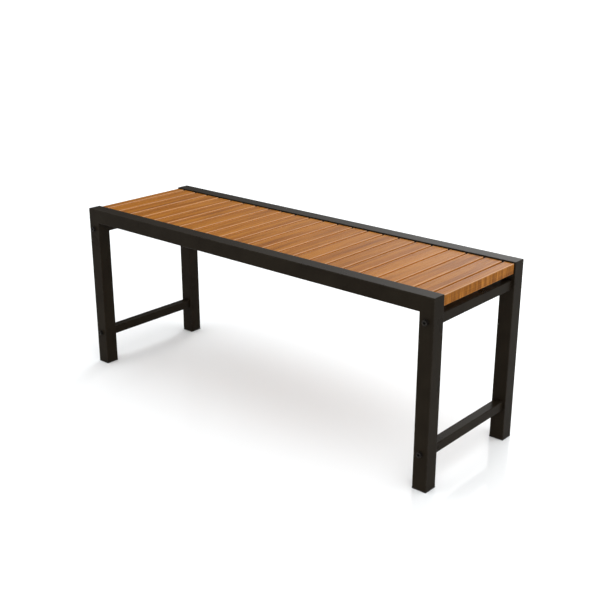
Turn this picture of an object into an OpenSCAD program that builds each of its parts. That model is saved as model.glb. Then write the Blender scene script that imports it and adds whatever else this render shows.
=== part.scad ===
// Backless bench. Two welded frames of square tube, front and rear, are bolted together by
// cross rails. The seat is a row of timber slats that lie on ledgers between the two long rails.
// X runs along the bench, Y from front to back and Z up. The ground is z = 0, and the origin is
// on the ground under the middle of the bench.

/* [Overall] */
// Length over the end posts
bench_length = 1165; // [800:5:1700]
// Depth over the front and rear frames, without the bolt heads
bench_depth = 375; // [260:5:600]
// Height of the frame above the ground
bench_height = 465; // [300:5:700]

/* [Frame tube] */
// Outside width of the square tube of the long rails and posts
frame_tube = 38; // [32:1:60]
// Wall thickness of the frame tube
frame_wall = 1.5; // [1.2:0.1:4]
// Outside corner radius of the frame tube
frame_corner = 1.5; // [1:0.1:5]

/* [Cross rails] */
// Outside width of the square tube of the cross rails and stretchers
cross_tube = 24; // [18:1:30]
// Wall thickness of the cross rail tube
cross_wall = 1.5; // [1:0.1:3]
// Outside corner radius of the cross rail tube
cross_corner = 1.5; // [0.5:0.1:4]
// Gap between the underside of the long rails and the top of an upper cross rail
upper_cross_gap = 7.5; // [1:0.5:60]
// Height of a stretcher's centre above the ground
stretcher_height = 93; // [40:1:200]

/* [Seat slats] */
// Distance from the middle of one slat to the middle of the next
slat_pitch = 50; // [40:1:80]
// Gap between neighbouring slats
slat_gap = 6; // [2:0.5:15]
// Thickness of a slat
slat_thickness = 25; // [18:0.5:30]
// Radius on the upper long edges of a slat
slat_edge = 2; // [0.5:0.5:6]
// Radius on the lower long edges of a slat
slat_lower_edge = 1; // [0.5:0.5:6]
// Distance from the top of the long rails down to the top of the slats
seat_drop = 3; // [0:0.5:5]
// Clearance between a slat's end and the rail beside it
slat_end_clearance = 1; // [0.5:0.5:3]
// Distance from the end of the frame in to the outer side of the last slat
end_slat_inset = 3; // [0:0.5:10]
// Least width of the last slat at each end
end_slat_min = 20; // [18:1:35]

/* [Slat ledgers] */
// Width of the ledger's leg that the slats lie on
ledger_width = 20; // [16:1:40]
// Thickness of the ledger
ledger_thickness = 2; // [1.5:0.5:3]
// Distance from the underside of the long rail up to the ledger's lower edge
ledger_setback = 1; // [0:0.5:3]
// Distance from the end of the frame in to the end of the ledger
ledger_inset = 5; // [1:0.5:6]

/* [Feet] */
// Thickness of the foot cap's flange under the post
foot_flange = 2.5; // [1.5:0.5:10]
// How far the flange stands out past the post on each side
foot_lip = 0.7; // [0:0.1:4]
// Height of the foot cap's plug inside the post
foot_plug_height = 16; // [8:1:30]
// Wall thickness of the foot cap's plug
foot_plug_wall = 2.5; // [1.5:0.5:5]
// Clearance between the plug and the inside of the post
foot_plug_clearance = 0.2; // [0.1:0.05:0.3]

/* [Frame bolts] */
// Diameter of a frame bolt
bolt_diameter = 8; // [5:1:10]
// Diameter of the bolt's socket head
bolt_head_diameter = 13; // [12:0.5:18]
// Height of the bolt's head
bolt_head_height = 8; // [5:0.5:12]
// Distance across the flats of the hexagon socket
bolt_socket = 6; // [4:0.5:8]
// Depth of the hexagon socket
bolt_socket_depth = 4; // [2:0.5:4.5]
// Clearance round a bolt in the post's holes
bolt_hole_clearance = 0.4; // [0.1:0.1:1]
// Clearance round a bolt in the thread of a nut plate
thread_clearance = 0.05; // [0.02:0.01:0.1]
// Length of bolt that comes out behind the nut plate
bolt_runout = 5; // [1:1:20]
// Thickness of a nut plate
nut_plate_thickness = 6; // [3:0.5:12]
// Distance from the cross rail's end in to the nut plate
nut_plate_inset = 1; // [0:0.5:5]
// Clearance between a nut plate and the inside of the cross rail
nut_plate_clearance = 0.1; // [0.05:0.05:0.3]

/* [Slat screws] */
// Diameter of a slat screw
screw_diameter = 4; // [3:0.5:5]
// Length of a slat screw under its head
screw_length = 18; // [12:1:19]
// Diameter of the screw's pan head
screw_head_diameter = 8; // [7:0.5:10]
// Height of the screw's pan head
screw_head_height = 2.6; // [2:0.1:4]
// Clearance round a screw in the ledger's holes
screw_hole_clearance = 0.25; // [0.1:0.05:0.5]
// Clearance round a screw in the slat's pilot hole
pilot_clearance = 0.05; // [0.02:0.01:0.1]
// Depth left free under the point of a screw
pilot_spare_depth = 1; // [0.5:0.5:3]
// Distance from the long rail's inner face to the row of screws
screw_row = 11; // [9:0.5:11]

/* [Hidden] */
$fn = 48;
// Margin by which a cutting shape runs past what it cuts
past = 5;
// Least inside corner radius of a tube
least_corner = 0.3;

// The long rails and posts
half_length = bench_length / 2;
half_depth = bench_depth / 2;
post_x = half_length - frame_tube / 2;
post_y = half_depth - frame_tube / 2;
inner_y = half_depth - frame_tube;
rail_z = bench_height - frame_tube / 2;
rail_underside = bench_height - frame_tube;

// The cross rails
upper_cross_z = rail_underside - upper_cross_gap - cross_tube / 2;
bolt_heights = [stretcher_height, upper_cross_z];
cross_inside = cross_tube - 2 * cross_wall;

// The slats. gaps_each_side counts the gaps from the middle one out to one end.
slat_top = bench_height - seat_drop;
slat_bottom = slat_top - slat_thickness;
slat_end_x = half_length - end_slat_inset;
gaps_each_side = floor((slat_end_x - end_slat_min - slat_gap / 2) / slat_pitch);
slat_count = 2 * gaps_each_side + 2;
slat_length = 2 * (inner_y - slat_end_clearance);

// The ledgers
ledger_length = bench_length - 2 * ledger_inset;
ledger_height = slat_bottom - rail_underside - ledger_setback;

// The fasteners
bolt_length = frame_tube + nut_plate_inset + nut_plate_thickness + bolt_runout;
screw_y = inner_y - screw_row;
screw_seat_z = slat_bottom - ledger_thickness;
pilot_depth = screw_length - ledger_thickness + pilot_spare_depth;

function gap_x(k) = (k - gaps_each_side - 1) * slat_pitch;
function slat_left(i) = i == 1 ? -slat_end_x : gap_x(i - 1) + slat_gap / 2;
function slat_right(i) = i == slat_count ? slat_end_x : gap_x(i) - slat_gap / 2;
function slat_x(i) = (slat_left(i) + slat_right(i)) / 2;
function slat_name(i) = str("slat_", i < 10 ? "0" : "", i);

coat = "#2b2825";
timber = "#b87b45";
plastic = "#1c1b1a";
black_steel = "#1f1e1d";
zinc = "#a9a8a4";

// A square of the given width with round corners, centred on the origin
module rounded_square(width, radius) {
    square([width - 2 * radius, width], center = true);
    square([width, width - 2 * radius], center = true);
    for (x = [-1, 1], y = [-1, 1]) {
        translate([x, y] * (width / 2 - radius)) circle(r = radius);
    }
}

// The wall of a square tube, centred on the origin
module tube_section(width, wall, corner) {
    difference() {
        rounded_square(width, corner);
        rounded_square(width - 2 * wall, max(corner - wall, least_corner));
    }
}

// A prism along Y that holds what lies above the mitre planes at both ends of a long rail
module above_mitres() {
    top = bench_height + past;
    bottom = rail_underside - past;
    rotate([90, 0, 0]) linear_extrude(bench_depth + 2 * past, center = true) polygon([
        [-half_length - past, top],
        [half_length + past, top],
        [half_length - frame_tube - past, bottom],
        [-half_length + frame_tube + past, bottom]
    ]);
}

// A long rail of one frame, mitred at both ends. side is -1 at the front and 1 at the rear.
module long_rail(side) {
    color(coat) intersection() {
        translate([0, side * post_y, rail_z])
            rotate([90, 0, 90])
                linear_extrude(bench_length + 2 * past, center = true)
                    tube_section(frame_tube, frame_wall, frame_corner);
        above_mitres();
    }
}

// A post, mitred at the top to meet the long rail, with its holes for the two frame bolts
module post(x_side, y_side) {
    hole_radius = bolt_diameter / 2 + bolt_hole_clearance;
    color(coat) difference() {
        translate([x_side * post_x, y_side * post_y, foot_flange])
            linear_extrude(bench_height + past - foot_flange)
                tube_section(frame_tube, frame_wall, frame_corner);
        above_mitres();
        for (z = bolt_heights) {
            translate([x_side * post_x, y_side * post_y, z])
                rotate([90, 0, 0])
                    cylinder(h = frame_tube + 2 * past, r = hole_radius, center = true);
        }
    }
}

// A cross rail from the front post to the rear post of one end, with its centre at height z
module cross_rail(x_side, z) {
    color(coat) translate([x_side * post_x, 0, z])
        rotate([90, 0, 0])
            linear_extrude(2 * inner_y, center = true)
                tube_section(cross_tube, cross_wall, cross_corner);
}

// An angle along the inner face of a long rail, with a hole under each slat for its screw
module slat_ledger(side) {
    hole_radius = screw_diameter / 2 + screw_hole_clearance;
    color(coat) difference() {
        translate([-ledger_length / 2, 0, 0]) {
            translate([0, side > 0 ? inner_y - ledger_width : -inner_y, slat_bottom - ledger_thickness])
                cube([ledger_length, ledger_width, ledger_thickness]);
            translate([0, side > 0 ? inner_y - ledger_thickness : -inner_y, slat_bottom - ledger_height])
                cube([ledger_length, ledger_thickness, ledger_height]);
        }
        for (i = [1 : slat_count]) {
            translate([slat_x(i), side * screw_y, slat_bottom - ledger_thickness / 2])
                cylinder(h = 2 * ledger_thickness, r = hole_radius, center = true);
        }
    }
}

// A slat's section, centred on the origin, with its upper and lower edges rounded
module slat_section(width) {
    half = width / 2;
    top = slat_thickness / 2;
    translate([-half, slat_lower_edge - top])
        square([width, slat_thickness - slat_edge - slat_lower_edge]);
    translate([slat_edge - half, 0]) square([width - 2 * slat_edge, top]);
    translate([slat_lower_edge - half, -top]) square([width - 2 * slat_lower_edge, top]);
    for (x = [-1, 1]) {
        translate([x * (half - slat_edge), top - slat_edge]) circle(r = slat_edge);
        translate([x * (half - slat_lower_edge), slat_lower_edge - top]) circle(r = slat_lower_edge);
    }
}

// Slat number i, counted from the left end, with a pilot hole from below near each end
module slat(i) {
    width = slat_right(i) - slat_left(i);
    color(timber) difference() {
        translate([slat_x(i), 0, slat_bottom + slat_thickness / 2])
            rotate([90, 0, 0])
                linear_extrude(slat_length, center = true)
                    slat_section(width);
        for (side = [-1, 1]) {
            translate([slat_x(i), side * screw_y, slat_bottom - past])
                cylinder(h = pilot_depth + past, r = screw_diameter / 2 + pilot_clearance);
        }
    }
}

// A moulded cap: a flange under the post and a hollow plug that fits inside it
module foot_cap(x_side, y_side) {
    plug = frame_tube - 2 * frame_wall - 2 * foot_plug_clearance;
    plug_corner = max(frame_corner - frame_wall, least_corner);
    color(plastic) translate([x_side * post_x, y_side * post_y, 0]) {
        linear_extrude(foot_flange) rounded_square(frame_tube + 2 * foot_lip, frame_corner + foot_lip);
        linear_extrude(foot_flange + foot_plug_height) tube_section(plug, foot_plug_wall, plug_corner);
    }
}

// A socket head bolt along Z with its head upwards, bearing on z = 0
module frame_bolt() {
    radius = bolt_diameter / 2;
    head = bolt_head_diameter / 2;
    chamfer = 0.8;
    difference() {
        rotate_extrude() polygon([
            [0, -bolt_length],
            [radius - chamfer, -bolt_length],
            [radius, -bolt_length + chamfer],
            [radius, 0],
            [head, 0],
            [head, bolt_head_height - chamfer],
            [head - chamfer, bolt_head_height],
            [0, bolt_head_height]
        ]);
        translate([0, 0, bolt_head_height - bolt_socket_depth])
            cylinder(h = bolt_socket_depth + past, r = bolt_socket / sqrt(3), $fn = 6);
    }
}

// The four bolts of one frame. They pass through its posts into the ends of the cross rails.
module frame_bolts(side) {
    color(black_steel) for (x = [-post_x, post_x], z = bolt_heights) {
        translate([x, side * half_depth, z]) rotate([-90 * side, 0, 0]) frame_bolt();
    }
}

// The threaded plates welded inside both ends of every cross rail
module cross_rail_nut_plates() {
    width = cross_inside - 2 * nut_plate_clearance;
    corner = max(cross_corner - cross_wall, least_corner);
    middle_y = inner_y - nut_plate_inset - nut_plate_thickness / 2;
    color(zinc) for (x = [-post_x, post_x], y = [-middle_y, middle_y], z = bolt_heights) {
        translate([x, y, z]) rotate([90, 0, 0]) difference() {
            linear_extrude(nut_plate_thickness, center = true) rounded_square(width, corner);
            cylinder(h = nut_plate_thickness + past, r = bolt_diameter / 2 + thread_clearance, center = true);
        }
    }
}

// A pan head screw along Z with its point upwards and its head bearing on z = 0
module slat_screw() {
    radius = screw_diameter / 2;
    head = screw_head_diameter / 2;
    recess = head * 0.9;
    difference() {
        rotate_extrude() polygon([
            [0, -screw_head_height],
            [head * 0.55, -screw_head_height],
            [head * 0.85, -screw_head_height * 0.8],
            [head, -screw_head_height * 0.45],
            [head, 0],
            [radius, 0],
            [radius, screw_length - screw_diameter],
            [0, screw_length]
        ]);
        for (turn = [0, 90]) {
            rotate(turn) translate([0, 0, -screw_head_height])
                cube([recess, screw_head_height * 0.3, screw_head_height], center = true);
        }
    }
}

// The screws that hold one end of every slat down on its ledger
module slat_screws(side) {
    color(zinc) for (i = [1 : slat_count]) {
        translate([slat_x(i), side * screw_y, screw_seat_z]) slat_screw();
    }
}

long_rail(-1);  // front_rail
long_rail(1);  // rear_rail
post(-1, -1);  // front_left_post
post(1, -1);  // front_right_post
post(-1, 1);  // rear_left_post
post(1, 1);  // rear_right_post
cross_rail(-1, upper_cross_z);  // left_upper_cross_rail
cross_rail(1, upper_cross_z);  // right_upper_cross_rail
cross_rail(-1, stretcher_height);  // left_stretcher
cross_rail(1, stretcher_height);  // right_stretcher
slat_ledger(-1);  // front_slat_ledger
slat_ledger(1);  // rear_slat_ledger
for (i = [1 : slat_count]) slat(i);
foot_cap(-1, -1);  // front_left_foot_cap
foot_cap(1, -1);  // front_right_foot_cap
foot_cap(-1, 1);  // rear_left_foot_cap
foot_cap(1, 1);  // rear_right_foot_cap
frame_bolts(-1);  // front_frame_bolts
frame_bolts(1);  // rear_frame_bolts
cross_rail_nut_plates();
slat_screws(-1);  // front_slat_screws
slat_screws(1);  // rear_slat_screws
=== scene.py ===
"""A backless bench: two black tube frames, cross rails and a seat of teak slats."""
import math

import bpy
import numpy as np
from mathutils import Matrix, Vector


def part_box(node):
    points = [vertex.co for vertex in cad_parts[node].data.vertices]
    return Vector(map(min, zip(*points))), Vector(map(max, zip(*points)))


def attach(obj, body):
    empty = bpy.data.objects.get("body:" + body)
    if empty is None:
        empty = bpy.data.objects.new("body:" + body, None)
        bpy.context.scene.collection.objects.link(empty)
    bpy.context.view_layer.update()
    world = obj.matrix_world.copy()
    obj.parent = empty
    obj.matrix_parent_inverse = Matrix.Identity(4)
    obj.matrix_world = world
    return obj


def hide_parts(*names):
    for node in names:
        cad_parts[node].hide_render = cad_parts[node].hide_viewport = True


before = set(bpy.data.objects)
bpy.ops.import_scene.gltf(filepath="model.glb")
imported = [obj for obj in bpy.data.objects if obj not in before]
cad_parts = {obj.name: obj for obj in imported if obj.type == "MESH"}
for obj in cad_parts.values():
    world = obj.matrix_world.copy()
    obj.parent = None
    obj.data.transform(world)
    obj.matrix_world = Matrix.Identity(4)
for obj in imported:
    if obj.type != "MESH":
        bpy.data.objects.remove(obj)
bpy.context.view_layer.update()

MM = 0.001
SHARP_ANGLE = math.radians(35)

# ---------------------------------------------------------------- sizes, from the frame

rail_low, rail_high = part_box("front_rail")
post_low, post_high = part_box("front_right_post")
cross_low, cross_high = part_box("right_stretcher")
cap_low, cap_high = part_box("front_right_foot_cap")

HALF_LENGTH = rail_high.x
TOP = rail_high.z
TUBE = rail_high.z - rail_low.z
POST_X = (post_low.x + post_high.x) / 2
REAR_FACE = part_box("rear_rail")[1].y
POST_Y = REAR_FACE - TUBE / 2
POST_FOOT = post_low.z
CROSS_TUBE = cross_high.x - cross_low.x
SLAT_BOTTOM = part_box("slat_02")[0].z
SLATS = sorted(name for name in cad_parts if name.startswith("slat_"))

FRAME_WALL = 1.5 * MM
FRAME_CORNER = 1.5 * MM
FRAME_MITRE_CORNER = 1.2 * MM
CROSS_CORNER = 1.5 * MM
LEDGER_THICKNESS = 2.0 * MM
LEDGER_CORNER = 0.4 * MM
SLAT_TOP_EDGE = 2.0 * MM
SLAT_BOTTOM_EDGE = 1.0 * MM
SLAT_END_EDGE = 2.0 * MM
PLUG_CLEARANCE = 0.4 * MM
PLUG_WALL = 2.5 * MM
CAP_LIP = 0.7 * MM
BOLT_RADIUS = 4.0 * MM
BOLT_HEAD_RADIUS = 6.5 * MM
BOLT_HEAD_HEIGHT = 8.0 * MM
BOLT_SOCKET = 6.0 * MM
BOLT_SOCKET_DEPTH = 4.0 * MM
SCREW_RADIUS = 2.0 * MM
SCREW_HEAD_RADIUS = 4.0 * MM
SCREW_POINT = 4.0 * MM
SCREW_CROSS_DEPTH = 1.1 * MM


# ---------------------------------------------------------------- outlines and surfaces

def outline(corners, radius, steps=5, support=0.5 * MM):
    """A closed outline of straight sides whose right-angled corners are quarter circles.

    The radius r is one number for all corners or one for each. From a corner c with unit vectors
    p back along the last side and q on along the next one, the arc is
    c + r (p (1 - sin a) + q (1 - cos a)) for a from 0 to 90 degrees. A support point stands on the
    straight side just before and just after each arc, so that smooth shading stays flat on the
    sides. Returns the points, their outward normals and a weight that is 1 on the arcs and 0 on
    the support points.
    """
    c = np.asarray(corners, float)
    r = np.broadcast_to(radius, len(c))[:, None, None]
    p = np.roll(c, 1, 0) - c
    q = np.roll(c, -1, 0) - c
    p /= np.linalg.norm(p, axis=1, keepdims=True)
    q /= np.linalg.norm(q, axis=1, keepdims=True)
    turn = np.sign(q[:, 0] * p[:, 1] - q[:, 1] * p[:, 0])[:, None, None]
    a = np.linspace(0, math.pi / 2, steps + 1)[None, :, None]
    c, p, q = c[:, None, :], p[:, None, :], q[:, None, :]
    arc = c + r * (p * (1 - np.sin(a)) + q * (1 - np.cos(a)))
    out = -turn * (p * np.sin(a) + q * np.cos(a))
    points = np.concatenate([arc[:, :1] + support * p, arc, arc[:, -1:] + support * q], 1)
    normals = np.concatenate([out[:, :1], out, out[:, -1:]], 1)
    weight = np.ones(points.shape[:2])
    weight[:, [0, -1]] = 0
    return points.reshape(-1, 2), normals.reshape(-1, 2), weight.ravel()


def rectangle(width, height):
    """The corners of a rectangle centred on the origin, anticlockwise."""
    x, y = width / 2, height / 2
    return [(x, -y), (x, y), (-x, y), (-x, -y)]


def grid_faces(rows, columns, close_rows=False):
    """Quads of a grid of points that is closed round its columns, row after row outwards."""
    r = np.arange(rows if close_rows else rows - 1)[:, None]
    c = np.arange(columns)[None, :]
    up, on = (r + 1) % rows, (c + 1) % columns
    quads = np.stack([r * columns + c, r * columns + on, up * columns + on, up * columns + c], -1)
    return quads.reshape(-1, 4)


def facing_out(points, faces):
    """The faces, turned over if they point into the solid, as its signed volume tells."""
    p = np.asarray(points).reshape(-1, 3)
    f = np.asarray(faces)
    a, b, c, d = (p[f[:, i]] for i in range(4))
    volume = np.einsum("ij,ij->i", a, np.cross(b, c)).sum()
    volume += np.einsum("ij,ij->i", a, np.cross(c, d)).sum()
    return f if volume > 0 else f[:, ::-1]


def closed_stack(points):
    """Faces of a stack of rings, with its first and last ring closed by a flat face."""
    rows, columns = points.shape[:2]
    quads = facing_out(points, grid_faces(rows, columns))
    ends = [list(range(columns)), list(range((rows - 1) * columns, rows * columns))]
    ends[0 if quads[0][1] == (quads[0][0] + 1) % columns else 1].reverse()
    return quads.tolist() + ends


def piece(name, points, faces, finish, *nodes, slot, **values):
    """A mesh piece that rides on the bench's one body and stands for the CAD nodes named.

    finish is its material. values are extra numbers for the points, one for each point or one for
    them all, which the materials read as attributes.
    """
    mesh = bpy.data.meshes.new(name)
    mesh.from_pydata(np.asarray(points, float).reshape(-1, 3), [], [list(f) for f in faces])
    mesh.shade_smooth()
    mesh.set_sharp_from_angle(angle=SHARP_ANGLE)
    for key, value in values.items():
        value = np.asarray(value, np.float32)
        if value.shape[-1:] == (3,):
            value = np.broadcast_to(value, (len(mesh.vertices), 3))
            layer = mesh.attributes.new(key, "FLOAT_VECTOR", "POINT")
            layer.data.foreach_set("vector", np.ascontiguousarray(value).ravel())
        else:
            value = np.broadcast_to(value.ravel(), (len(mesh.vertices),))
            layer = mesh.attributes.new(key, "FLOAT", "POINT")
            layer.data.foreach_set("value", np.ascontiguousarray(value))
    mesh.materials.append(finish)
    made = bpy.data.objects.new(name, mesh)
    bpy.context.scene.collection.objects.link(made)
    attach(made, "root")
    if nodes:
        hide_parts(*nodes)
    return made


def shell(outer, inner):
    """A tube wall from two grids of points of one shape, rows along it and columns round it.

    Rows of the outer grid run forward and those of the inner grid back, so the whole wall, with
    the rims at both ends, is one grid that is closed both ways.
    """
    points = np.concatenate([outer, inner[::-1]])
    return points, grid_faces(points.shape[0], points.shape[1], close_rows=True)


# ---------------------------------------------------------------- the node trees

class Tree:
    """The nodes of a material or a world, with one call for each node and its inputs."""

    def __init__(self, owner, output="OutputMaterial"):
        owner.use_nodes = True
        self.owner = owner
        self.tree = owner.node_tree
        self.tree.nodes.clear()
        self.output = self.tree.nodes.new("ShaderNode" + output)

    def put(self, socket, value):
        """A link into the socket if the value is an output, and a plain value if it is not."""
        if isinstance(value, bpy.types.NodeSocket):
            self.tree.links.new(value, socket)
        elif value is not None:
            socket.default_value = value

    def node(self, kind, *inputs, output=0, **settings):
        """A new node's output. A keyword with a capital is an input, any other a setting."""
        made = self.tree.nodes.new("ShaderNode" + kind)
        named = {k: v for k, v in settings.items() if k[0].isupper()}
        for key, value in settings.items():
            if key not in named:
                setattr(made, key, value)
        for socket, value in zip(made.inputs, inputs):
            self.put(socket, value)
        for key, value in named.items():
            self.put(made.inputs[key.replace("_", " ")], value)
        return made.outputs[output]

    def math(self, operation, a, b=None, clamp=False):
        return self.node("Math", a, b, operation=operation, use_clamp=clamp)

    def blend(self, factor, a, b):
        """A number between a and b."""
        made = self.tree.nodes.new("ShaderNodeMix")
        for index, value in ((0, factor), (2, a), (3, b)):
            self.put(made.inputs[index], value)
        return made.outputs[0]

    def mix(self, factor, a, b):
        """A colour between a and b."""
        made = self.tree.nodes.new("ShaderNodeMix")
        made.data_type = "RGBA"
        for index, value in ((0, factor), (6, a), (7, b)):
            self.put(made.inputs[index], value)
        return made.outputs[2]

    def place(self):
        """The point on the piece, in metres in the bench's own frame."""
        return self.node("TexCoord", output=3)

    def stretch(self, vector, scale):
        """A point with its X, Y and Z each multiplied."""
        return self.node("Mapping", vector, Scale=scale)

    def noise(self, vector, scale=1.0, detail=2.0, roughness=0.5, distortion=0.0):
        return self.node("TexNoise", Vector=vector, Scale=scale, Detail=detail,
                         Roughness=roughness, Distortion=distortion)

    def ramp(self, factor, low, high, to_low=0.0, to_high=1.0):
        """A number carried from low and high to the other two, and kept between those."""
        return self.node("MapRange", factor, low, high, to_low, to_high)

    def attribute(self, name, output=2):
        return self.node("Attribute", attribute_name=name, output=output)

    def bump(self, height, distance, strength):
        return self.node("Bump", Strength=strength, Distance=distance, Height=height)

    def surface(self, shader):
        self.put(self.output.inputs["Surface"], shader)
        return self.owner

    def finish(self, **inputs):
        """The surface of a plain material, from the inputs of its one shader."""
        return self.surface(self.node("BsdfPrincipled", **inputs))


def material(name):
    """The empty tree of a new material."""
    return Tree(bpy.data.materials.new(name))


def colour(r, g, b):
    """A colour given as sRGB values from 0 to 255, as the shader wants it."""
    c = np.array([r, g, b]) / 255
    linear = np.where(c <= 0.04045, c / 12.92, ((c + 0.055) / 1.055) ** 2.4)
    return (*linear, 1.0)


def powder_coat():
    """Near-black semi-gloss powder coat: fine orange peel, faint mottling, rubbed edges."""
    t = material("frame powder coat")
    peel = t.noise(t.place(), 900, 2, 0.5)
    cloud = t.noise(t.place(), 14, 3, 0.55)
    rub = t.noise(t.place(), 160, 4, 0.65)
    edge = t.math("MULTIPLY", t.attribute("edge"), t.ramp(rub, 0.42, 0.62), clamp=True)
    base = t.mix(t.ramp(cloud, 0.35, 0.65), colour(29, 24, 18), colour(34, 29, 22))
    base = t.mix(t.math("MULTIPLY", edge, 0.5), base, colour(52, 49, 44))
    rough = t.ramp(cloud, 0.3, 0.7, 0.26, 0.33)
    rough = t.math("SUBTRACT", rough, t.math("MULTIPLY", edge, 0.06))
    return t.finish(Base_Color=base, Roughness=rough, Specular_IOR_Level=0.020,
                    Normal=t.bump(peel, 0.00004, 0.5))


def teak():
    """Oiled teak: streaks, growth rings, fibres and pores, with a painted highlight on the top edges
    and painted light and shade on the sides.
    """
    t = material("teak")
    board = t.attribute("board", output=1)
    pith = t.attribute("pith", output=1)
    tone = t.attribute("tone")
    side = t.attribute("side")
    place = t.place()
    moved = t.node("VectorMath", place, board, operation="ADD")

    from_pith = t.node("VectorMath", place, pith, operation="SUBTRACT")
    across = t.node("VectorMath", from_pith, (1, 0.03, 1), operation="MULTIPLY")
    radius = t.node("VectorMath", across, operation="LENGTH", output=1)
    wander = t.noise(t.stretch(moved, (9, 2.2, 9)), 1.0, 2, 0.5)
    radius = t.math("ADD", radius, t.math("MULTIPLY", wander, 0.012))
    rings = t.node("TexNoise", noise_dimensions="1D", W=t.math("ADD", radius, tone), Scale=210.0,
                   Detail=4.0, Roughness=0.62)
    streaks = t.noise(t.stretch(moved, (64, 3.0, 64)), 1.0, 4, 0.60, 0.3)
    fibre = t.noise(t.stretch(moved, (900, 22, 900)), 1.0, 3, 0.6)
    pores = t.noise(t.stretch(moved, (1100, 42, 1100)), 1.0, 2, 0.5)
    fleck = t.noise(t.stretch(moved, (240, 420, 240)), 1.0, 2, 0.5)
    figure = t.noise(t.stretch(moved, (30, 130, 12)), 1.0, 3, 0.6)

    light, mid, dark = colour(163, 105, 33), colour(142, 85, 18), colour(98, 50, 8)
    wood = t.mix(t.ramp(rings, 0.40, 0.60), mid, light)
    wood = t.mix(t.ramp(streaks, 0.50, 0.68, 0.0, 0.75), wood, dark)
    # Painted shade and painted light: by the figure noise, patches of the side faces are darkened or
    # lit to gold.
    shaded = t.math("MULTIPLY", side, t.ramp(figure, 0.47, 0.62, 0.0, 0.6))
    sunlit = t.math("MULTIPLY", side, t.ramp(figure, 0.49, 0.38, 0.0, 0.55))
    wood = t.mix(sunlit, t.mix(shaded, wood, dark), colour(204, 136, 58))
    # Painted light: the sides that face into the gaps between slats, where shade falls, are lit to a
    # bright orange.
    wood = t.mix(t.attribute("inner"), wood, colour(206, 132, 52))
    wood = t.mix(t.ramp(fibre, 0.45, 0.75, 0.0, 0.35), wood, dark)
    wood = t.mix(t.ramp(fleck, 0.35, 0.75, 0.0, 0.20), wood, colour(182, 124, 58))
    wood = t.mix(t.ramp(pores, 0.66, 0.76, 0.0, 0.6), wood, colour(84, 42, 12))
    wood = t.mix(t.math("MULTIPLY", tone, 0.24), wood, dark)
    # Painted highlight: the upward-facing rounded top edges of the slats are lightened to a pale pink.
    eased = t.math("MULTIPLY", t.attribute("edge"), t.ramp(fibre, 0.3, 0.7, 0.85, 0.5))
    wood = t.mix(eased, wood, colour(202, 162, 130))
    rough = t.ramp(fibre, 0.3, 0.7, 0.24, 0.34)
    height = t.math("SUBTRACT", t.math("MULTIPLY", fibre, 0.5), t.ramp(pores, 0.66, 0.8))
    return t.finish(Base_Color=wood, Roughness=rough, Specular_IOR_Level=0.025,
                    Normal=t.bump(height, 0.00010, 0.4))


def moulded_plastic():
    """Black moulded plastic with a fine spark-eroded grain."""
    t = material("foot plastic")
    grain = t.noise(t.place(), 2600, 2, 0.5)
    cloud = t.noise(t.place(), 60, 2, 0.5)
    base = t.mix(t.ramp(cloud, 0.35, 0.65), colour(24, 23, 22), colour(30, 29, 28))
    base = t.mix(t.math("MULTIPLY", t.attribute("edge"), 0.3), base, colour(58, 56, 54))
    return t.finish(Base_Color=base, Roughness=t.ramp(cloud, 0.3, 0.7, 0.55, 0.68),
                    Normal=t.bump(grain, 0.00005, 0.7))


def blackened_steel():
    """Black oxide on steel: dark satin metal, a little bare on the sharp edges."""
    t = material("black oxide steel")
    cloud = t.noise(t.place(), 320, 3, 0.6)
    base = t.mix(t.ramp(cloud, 0.35, 0.65), colour(22, 20, 18), colour(30, 27, 24))
    edge = t.math("MULTIPLY", t.attribute("edge"), t.ramp(cloud, 0.4, 0.65), clamp=True)
    base = t.mix(t.math("MULTIPLY", edge, 0.35), base, colour(70, 66, 60))
    rough = t.ramp(cloud, 0.3, 0.7, 0.34, 0.5)
    return t.finish(Base_Color=base, Metallic=0.2, Specular_IOR_Level=0.12, Roughness=rough,
                    Normal=t.bump(cloud, 0.00003, 0.5))


def zinc_plate():
    """Bright zinc plate: pale metal with a cloudy passivated bloom."""
    t = material("zinc plate")
    cloud = t.noise(t.place(), 240, 3, 0.6)
    base = t.mix(t.ramp(cloud, 0.35, 0.65), colour(176, 175, 170), colour(205, 204, 200))
    return t.finish(Base_Color=base, Metallic=1.0, Roughness=t.ramp(cloud, 0.3, 0.7, 0.24, 0.42),
                    Normal=t.bump(cloud, 0.00002, 0.4))


COAT = powder_coat()
TEAK = teak()
PLASTIC = moulded_plastic()
BLACK_STEEL = blackened_steel()
ZINC = zinc_plate()


# ---------------------------------------------------------------- the welded frames

def bend_steps(first, last, steps=5):
    """Angles round the outer corner of a frame, from 0 at the rail's top to 90 at the post."""
    return np.radians(np.linspace(first, last, steps))


def corner_path(out, side, angles):
    """Points of one frame's corner, for profile points that lie `out` from its inner line.

    The corner of such a line lies TUBE - out inside the frame's outer corner, and is rounded
    with a radius that grows with out, from nothing at the inner line.
    """
    reach = TUBE - out
    radius = FRAME_MITRE_CORNER * out / TUBE
    x = HALF_LENGTH - reach - radius * (1 - np.sin(angles[:, None]))
    z = TOP - reach - radius * (1 - np.cos(angles[:, None]))
    return side * x, z


def rail_grid(profile, y_middle):
    """Rows of points along a long rail, from its left mitre to its right one."""
    out, y = profile[:, 1] + TUBE / 2, profile[:, 0] + y_middle
    x, z = corner_path(out, 1, bend_steps(45, 0))
    near_x, near_z = x[-1:] - 0.5 * MM, z[-1:]
    x, z = np.concatenate([x, near_x]), np.concatenate([z, near_z])
    rows_x, rows_z = np.concatenate([x, -x[::-1]]), np.concatenate([z, z[::-1]])
    return np.stack([rows_x, np.broadcast_to(y, rows_x.shape), rows_z], -1)


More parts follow.
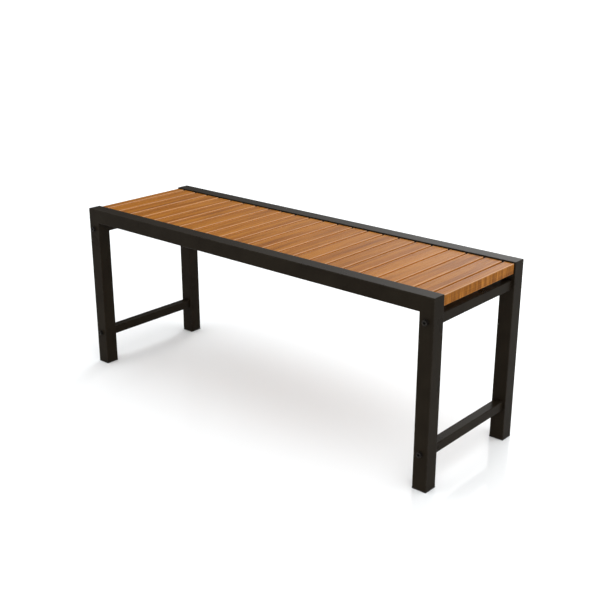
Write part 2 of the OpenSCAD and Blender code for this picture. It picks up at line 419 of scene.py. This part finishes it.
def post_grid(profile, side, y_middle):
    """Rows of points down a post, from its mitre to its open foot."""
    out, y = profile[:, 1] + TUBE / 2, profile[:, 0] + y_middle
    x, z = corner_path(out, side, bend_steps(45, 90))
    near_x, near_z = x[-1:], z[-1:] - 0.5 * MM
    foot_z = np.full_like(near_z, POST_FOOT)
    rows_x = np.concatenate([x, near_x, near_x])
    rows_z = np.concatenate([z, near_z, foot_z])
    return np.stack([rows_x, np.broadcast_to(y, rows_x.shape), rows_z], -1)


def square_tube(width, corner, wall):
    """Outlines of a square tube's outside and inside, of one count of points."""
    outside, _, weight = outline(rectangle(width, width), corner)
    hollow = width - 2 * wall
    inside, _, _ = outline(rectangle(hollow, hollow), max(corner - wall, 0.3 * MM))
    return outside, inside, weight


def tube_piece(name, outer, inner, weight, node):
    """A coated tube from the grids of its outside and inside, with weight 1 on rubbed corners."""
    points, faces = shell(outer, inner)
    edge = np.zeros(points.shape[:2])
    edge[:len(outer)] = weight
    return piece(name, points, facing_out(points, faces), COAT, node, slot="frame_coat", edge=edge)


outside, inside, weight = square_tube(TUBE, FRAME_CORNER, FRAME_WALL)
for where, y_side in (("front", -1), ("rear", 1)):
    y_middle = y_side * POST_Y
    tube_piece(f"{where}_long_rail_tube", rail_grid(outside, y_middle), rail_grid(inside, y_middle),
               weight, f"{where}_rail")
    for end, x_side in (("left", -1), ("right", 1)):
        tube_piece(f"{where}_{end}_post_tube", post_grid(outside, x_side, y_middle),
                   post_grid(inside, x_side, y_middle), weight, f"{where}_{end}_post")


# ---------------------------------------------------------------- cross rails and ledgers

def straight_rows(profile, start, end, axis):
    """Rows of one profile at both ends of a straight bar along X or Y."""
    ends = np.array([start, end])[:, None]
    first = np.broadcast_to(profile[:, 0], (2, len(profile)))
    second = np.broadcast_to(profile[:, 1], (2, len(profile)))
    along = np.broadcast_to(ends, first.shape)
    parts = [along, first, second] if axis == "X" else [first, along, second]
    return np.stack(parts, -1)


outside, inside, weight = square_tube(CROSS_TUBE, CROSS_CORNER, FRAME_WALL)
for node in ("left_upper_cross_rail", "right_upper_cross_rail", "left_stretcher", "right_stretcher"):
    low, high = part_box(node)
    middle = np.array([(low.x + high.x) / 2, (low.z + high.z) / 2])
    tube_piece(node + "_tube", straight_rows(outside + middle, low.y, high.y, "Y"),
               straight_rows(inside + middle, low.y, high.y, "Y"), weight, node)


for where, y_side in (("front", -1), ("rear", 1)):
    low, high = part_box(f"{where}_slat_ledger")
    wall_y = low.y if y_side < 0 else high.y
    lip_y = high.y if y_side < 0 else low.y
    step_y = wall_y - y_side * LEDGER_THICKNESS
    step_z = high.z - LEDGER_THICKNESS
    corners = [(wall_y, low.z), (step_y, low.z), (step_y, step_z), (lip_y, step_z),
               (lip_y, high.z), (wall_y, high.z)]
    section, _, edge = outline(corners[::-y_side], LEDGER_CORNER, 3, 0.3 * MM)
    points = straight_rows(section, low.x, high.x, "X")
    piece(f"{where}_ledger_angle", points, closed_stack(points), COAT, f"{where}_slat_ledger",
          slot="frame_coat", edge=np.tile(edge, 2))


# ---------------------------------------------------------------- the slats

def slat_surface(low, high):
    """A slat: a rounded rectangle in X and Z carried along Y, with its two ends eased.

    Near an end the outline moves in along its normals by r (1 - cos a) while it moves out along
    Y by r sin a, for a from 0 to 90 degrees. Returns the rows of points and the outline.
    """
    width, height = high.x - low.x, high.z - low.z
    middle = np.array([(low.x + high.x) / 2, (low.z + high.z) / 2])
    radii = (SLAT_BOTTOM_EDGE, SLAT_TOP_EDGE, SLAT_TOP_EDGE, SLAT_BOTTOM_EDGE)
    flat, normals, weight = outline(rectangle(width, height), radii, 6)
    a = np.radians(np.linspace(90, 0, 6))
    inset = np.concatenate([SLAT_END_EDGE * (1 - np.cos(a)), [0]])
    y = np.concatenate([low.y + SLAT_END_EDGE * (1 - np.sin(a)), [low.y + SLAT_END_EDGE + 0.5 * MM]])
    inset = np.concatenate([inset, inset[::-1]])
    y = np.concatenate([y, low.y + high.y - y[::-1]])
    rows = flat[None] - inset[:, None, None] * normals[None] + middle
    y = np.broadcast_to(y[:, None], rows.shape[:2])
    return np.stack([rows[..., 0], y, rows[..., 1]], -1), normals, weight


rng = np.random.default_rng(24)
for name in SLATS:
    low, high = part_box(name)
    points, normals, weight = slat_surface(low, high)
    rows = len(points)
    pith_x = (low.x + high.x) / 2 + rng.uniform(-0.05, 0.05)
    pith_z = low.z - rng.uniform(0.03, 0.16)
    outer_side = {SLATS[0]: -1, SLATS[-1]: 1}.get(name, 0)
    # inner is painted light on the side faces that look into the gaps between slats; the end slats'
    # outer sides get none.
    in_gap = normals[:, 0] * outer_side <= 0
    inner = 0.8 * np.clip(2.5 * np.abs(normals[:, 0]) - 1.25, 0, 1) * in_gap
    # edge weighs the upward-facing rounded top edges, which the teak lightens as a painted highlight.
    piece(name.replace("slat", "teak_slat"), points, closed_stack(points), TEAK, name, slot="timber",
          board=rng.uniform(-5, 5, 3), pith=(pith_x, rng.uniform(-0.3, 0.3), pith_z),
          tone=rng.uniform(0, 1), side=np.tile(np.abs(normals[:, 0]) ** 4, rows),
          edge=np.tile(weight * np.clip(normals[:, 1], 0, 1), rows), inner=np.tile(inner, rows))


# ---------------------------------------------------------------- the feet

def ring_stack(profile, normals, rings):
    """Rows of one outline, each moved in along its normals, shrunk and lifted as rings says."""
    rings = np.asarray(rings)
    inset, shrink, height = (rings[:, i][:, None] for i in range(3))
    x = (profile[:, 0] - inset * normals[:, 0]) * shrink
    y = (profile[:, 1] - inset * normals[:, 1]) * shrink
    return np.stack([x, y, np.broadcast_to(height, x.shape)], -1)


flange = cap_high.x - cap_low.x
flange_top = POST_FOOT
eased = 0.7 * MM
hollow = 0.6 * MM
rounding = np.radians(np.linspace(0, 90, 5))
closing, rising = eased * (1 - np.sin(rounding)), eased * (1 - np.cos(rounding))
bottom_rings = [(0, 0.55, hollow), (0, 0.60, hollow), (0, 0.62, 0), (eased, 0.97, 0)]
bottom_rings += [(inset, 1, height) for inset, height in zip(closing, rising)]
top_rings = [(inset, 1, flange_top - below) for inset, below in zip(rising, closing)]
plug = (TUBE - 2 * FRAME_WALL - PLUG_CLEARANCE) / flange
bore = plug - 2 * PLUG_WALL / flange
plug_rings = [(0, plug, flange_top), (0, plug, cap_high.z - 1 * MM), (0, plug - 0.02, cap_high.z),
              (0, bore, cap_high.z), (0, bore, flange_top)]
for y_name, y_side in (("front", -1), ("rear", 1)):
    for x_name, x_side in (("left", -1), ("right", 1)):
        flat, normals, weight = outline(rectangle(flange, flange), FRAME_CORNER + CAP_LIP, 6)
        points = ring_stack(flat, normals, bottom_rings + top_rings + plug_rings)
        faces = closed_stack(points)
        points = points + np.array([x_side * POST_X, y_side * POST_Y, 0])
        edge = np.zeros(points.shape[:2])
        edge[5:12] = 0.6
        piece(f"{y_name}_{x_name}_foot_moulding", points, faces, PLASTIC,
              f"{y_name}_{x_name}_foot_cap", slot="foot_plastic", edge=edge)


# ---------------------------------------------------------------- bolts and screws

def hexagon(angle, across):
    """The radius of a hexagon at each angle, with a corner at angle 0."""
    from_flat = np.mod(angle, math.pi / 3) - math.pi / 6
    return across / 2 / np.cos(from_flat)


def socket_bolt(length, turn):
    """A socket head bolt along Z that bears on z = 0, with its head upwards.

    Each ring has a radius, a height, a share of hexagon and a depth of knurling, and its radius
    is drawn out round 96 angles. Every second angle is cut back by the knurling's depth.
    """
    head, top, bore = BOLT_HEAD_RADIUS, BOLT_HEAD_HEIGHT, BOLT_SOCKET / math.sqrt(3)
    floor = top - BOLT_SOCKET_DEPTH
    knurl = 0.22 * MM
    rings = np.array([
        (0.2 * MM, -length, 0, 0), (BOLT_RADIUS - 0.8 * MM, -length, 0, 0),
        (BOLT_RADIUS, -length + 0.8 * MM, 0, 0), (BOLT_RADIUS, 0, 0, 0),
        (head - 0.5 * MM, 0, 0, 0), (head - 0.1 * MM, 0.2 * MM, 0, 0), (head, 0.6 * MM, 0, 0),
        (head, 0.9 * MM, 0, knurl), (head, top - 1.7 * MM, 0, knurl), (head, top - 1.4 * MM, 0, 0),
        (head, top - 0.7 * MM, 0, 0), (head - 0.2 * MM, top - 0.2 * MM, 0, 0),
        (head - 0.7 * MM, top, 0, 0), (bore + 0.75 * MM, top, 0, 0),
        (bore + 0.35 * MM, top - 0.05 * MM, 0.5, 0), (bore, top - 0.45 * MM, 1, 0),
        (bore, floor, 1, 0), (bore * 0.8, floor - 0.05 * MM, 1, 0), (0.2 * MM, floor - 0.6 * MM, 0, 0),
    ])
    angle = np.linspace(0, 2 * math.pi, 96, endpoint=False)
    radius, height, share, depth = (rings[:, i][:, None] for i in range(4))
    hexed = radius * hexagon(angle, BOLT_SOCKET)[None] / bore
    r = radius * (1 - share) + hexed * share - depth * (np.arange(96) % 2)[None]
    points = np.stack([r * np.cos(angle + turn), r * np.sin(angle + turn),
                       np.broadcast_to(height, r.shape)], -1)
    edge = np.zeros(r.shape)
    edge[[6, 10, 11, 12, 14]] = 1
    return points, edge


def several(name, places, make, finish, node, slot):
    """One piece of several copies of a solid, each turned and set down by its place."""
    all_points, all_faces, all_edges, first = [], [], [], 0
    for number, (spot, axes) in enumerate(places):
        points, edge = make(number)
        faces = closed_stack(points)
        all_faces += [[first + i for i in face] for face in faces]
        flat = points.reshape(-1, 3) @ np.array(axes) + np.array(spot)
        first += len(flat)
        all_points.append(flat)
        all_edges.append(edge.ravel())
    return piece(name, np.concatenate(all_points), all_faces, finish, node, slot=slot,
                 edge=np.concatenate(all_edges))


TO_FRONT = [(1, 0, 0), (0, 0, 1), (0, -1, 0)]
TO_REAR = [(-1, 0, 0), (0, 0, 1), (0, 1, 0)]
bolt_heights = [(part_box(node)[0].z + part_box(node)[1].z) / 2
                for node in ("right_stretcher", "right_upper_cross_rail")]
bolt_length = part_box("front_frame_bolts")[1].y - rail_low.y
for where, y_side, axes in (("front", -1, TO_FRONT), ("rear", 1, TO_REAR)):
    places = [((x, y_side * REAR_FACE, z), axes) for x in (-POST_X, POST_X) for z in bolt_heights]
    several(f"{where}_socket_bolts", places, lambda n: socket_bolt(bolt_length, 0.4 + 1.9 * n),
            BLACK_STEEL, f"{where}_frame_bolts", "black_steel")


def pan_screw(low, high, number):
    """A pan head screw along Z with its point up: a dome with a cross cut into it by depth."""
    seat = SLAT_BOTTOM - LEDGER_THICKNESS
    dome = [(0.0, 0.0), (0.12, 0.0), (0.2, 0.0), (0.3, 0.0), (0.42, 0.0), (0.55, 0.04), (0.75, 0.12),
            (0.9, 0.28), (0.98, 0.52), (1.0, 0.75), (1.0, 1.0)]
    rise = seat - low
    rings = [(max(r, 0.02) * SCREW_HEAD_RADIUS, low + z * rise) for r, z in dome]
    rings += [(SCREW_RADIUS, seat), (SCREW_RADIUS, high - SCREW_POINT), (0.05 * MM, high)]
    rings = np.array(rings)
    angle = np.linspace(0, 2 * math.pi, 32, endpoint=False)
    radius, height = rings[:, :1], rings[:, 1:]
    x, y = radius * np.cos(angle), radius * np.sin(angle)
    arm = np.minimum(np.abs(x), np.abs(y))
    reach = np.clip((2.1 * MM - radius) / (0.5 * MM), 0, 1)
    cut = reach * np.clip((0.62 * MM - arm) / (0.25 * MM), 0, 1) * (height < low + 0.3 * rise)
    z = np.broadcast_to(height, x.shape) + cut * SCREW_CROSS_DEPTH
    turn = 2.4 * number
    turned_x = x * math.cos(turn) - y * math.sin(turn)
    turned_y = x * math.sin(turn) + y * math.cos(turn)
    points = np.stack([turned_x, turned_y, z], -1)
    edge = np.zeros(x.shape)
    edge[5:10] = 1
    return points, edge


UPRIGHT = [(1, 0, 0), (0, 1, 0), (0, 0, 1)]
for where in ("front", "rear"):
    low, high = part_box(f"{where}_slat_screws")
    row_y = (low.y + high.y) / 2
    middles = [(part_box(name)[0].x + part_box(name)[1].x) / 2 for name in SLATS]
    places = [((x, row_y, 0), UPRIGHT) for x in middles]
    several(f"{where}_pan_screws", places, lambda n: pan_screw(low.z, high.z, n), ZINC,
            f"{where}_slat_screws", "zinc_steel")

nut_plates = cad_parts["cross_rail_nut_plates"]
nut_plates.data.materials.clear()
nut_plates.data.materials.append(ZINC)


# ---------------------------------------------------------------- floor, light and camera

FLOOR_COLOUR = (0.91, 0.93, 0.94, 1)
FLOOR_GLOSS = 0.05
FLOOR_REACH = 60
CAP_FRONT, CAP_BEHIND = 2.4, 1.8
FRONT_LIGHT, SIDE_LIGHT = 0.9, 0.65
STRIP_DIM, STRIP_BRIGHT, STRIP_CURVE = 0.15, 4.2, 2.6
CAMERA_AZIMUTH, CAMERA_ELEVATION = 41.095, 19.609
CAMERA_PLACE = (1.6621, -1.8553, 1.1631)
CAMERA_LENS, CAMERA_SENSOR = 59.776, 36


def studio():
    """A white floor under a soft dome, with a bright strip low down behind the bench.

    The dome is a low band and a high cap. The cap takes over between 44 and 90 degrees above the
    horizon, and further down towards the right. In the low band the strip behind the bench
    brightens with a power of how far its direction turns from the left to the right.
    """
    t = material("studio floor")
    matt = t.node("BsdfDiffuse", FLOOR_COLOUR)
    gloss = t.node("BsdfAnisotropic", Color=(1, 1, 1, 1), Roughness=0.10)
    t.surface(t.node("MixShader", FLOOR_GLOSS, matt, gloss))
    reach = FLOOR_REACH
    mesh = bpy.data.meshes.new("floor")
    mesh.from_pydata([(-reach, -reach, 0), (reach, -reach, 0), (reach, reach, 0), (-reach, reach, 0)],
                     [], [(0, 1, 2, 3)])
    mesh.materials.append(t.owner)
    floor = bpy.data.objects.new("floor", mesh)
    bpy.context.scene.collection.objects.link(floor)

    world = bpy.data.worlds.new("studio")
    bpy.context.scene.world = world
    t = Tree(world, "OutputWorld")
    direction = t.node("TexCoord", output=0)

    def along(x, y, z):
        return t.node("VectorMath", direction, (x, y, z), operation="DOT_PRODUCT", output=1)

    right, behind, height = along(1, 0, 0), along(0, 1, 0), along(0, 0, 1)
    turned = t.ramp(along(0.707, 0.707, 0), -0.18, 0.3)
    strip = t.ramp(t.math("POWER", turned, STRIP_CURVE), 0, 1, STRIP_DIM, STRIP_BRIGHT)
    band = t.blend(t.ramp(behind, 0.25, 0.6), FRONT_LIGHT, strip)
    band = t.blend(t.ramp(right, -0.35, 0.1), band, SIDE_LIGHT)
    lowered = t.math("ADD", height, t.math("MULTIPLY", t.math("MAXIMUM", right, 0.0), 0.4))
    cap = t.ramp(behind, -0.7, 0.7, CAP_FRONT, CAP_BEHIND)
    light = t.blend(t.ramp(lowered, 0.7, 1.0), band, cap)
    t.surface(t.node("Background", (1, 1, 1, 1), light))


def camera():
    """The camera stands 2.59 m from the seat's middle, looks down by 20 degrees and is turned 41
    degrees to the right from straight before the bench.
    """
    azimuth, elevation = math.radians(CAMERA_AZIMUTH), math.radians(CAMERA_ELEVATION)
    back = Vector((math.sin(azimuth) * math.cos(elevation), -math.cos(azimuth) * math.cos(elevation),
                   math.sin(elevation)))
    data = bpy.data.cameras.new("camera")
    data.lens, data.sensor_width = CAMERA_LENS, CAMERA_SENSOR
    eye = bpy.data.objects.new("camera", data)
    eye.location = CAMERA_PLACE
    eye.rotation_mode = "QUATERNION"
    eye.rotation_quaternion = (-back).to_track_quat("-Z", "Y")
    bpy.context.scene.collection.objects.link(eye)
    bpy.context.scene.camera = eye


studio()
camera()
bpy.context.scene.view_settings.view_transform = "Standard"
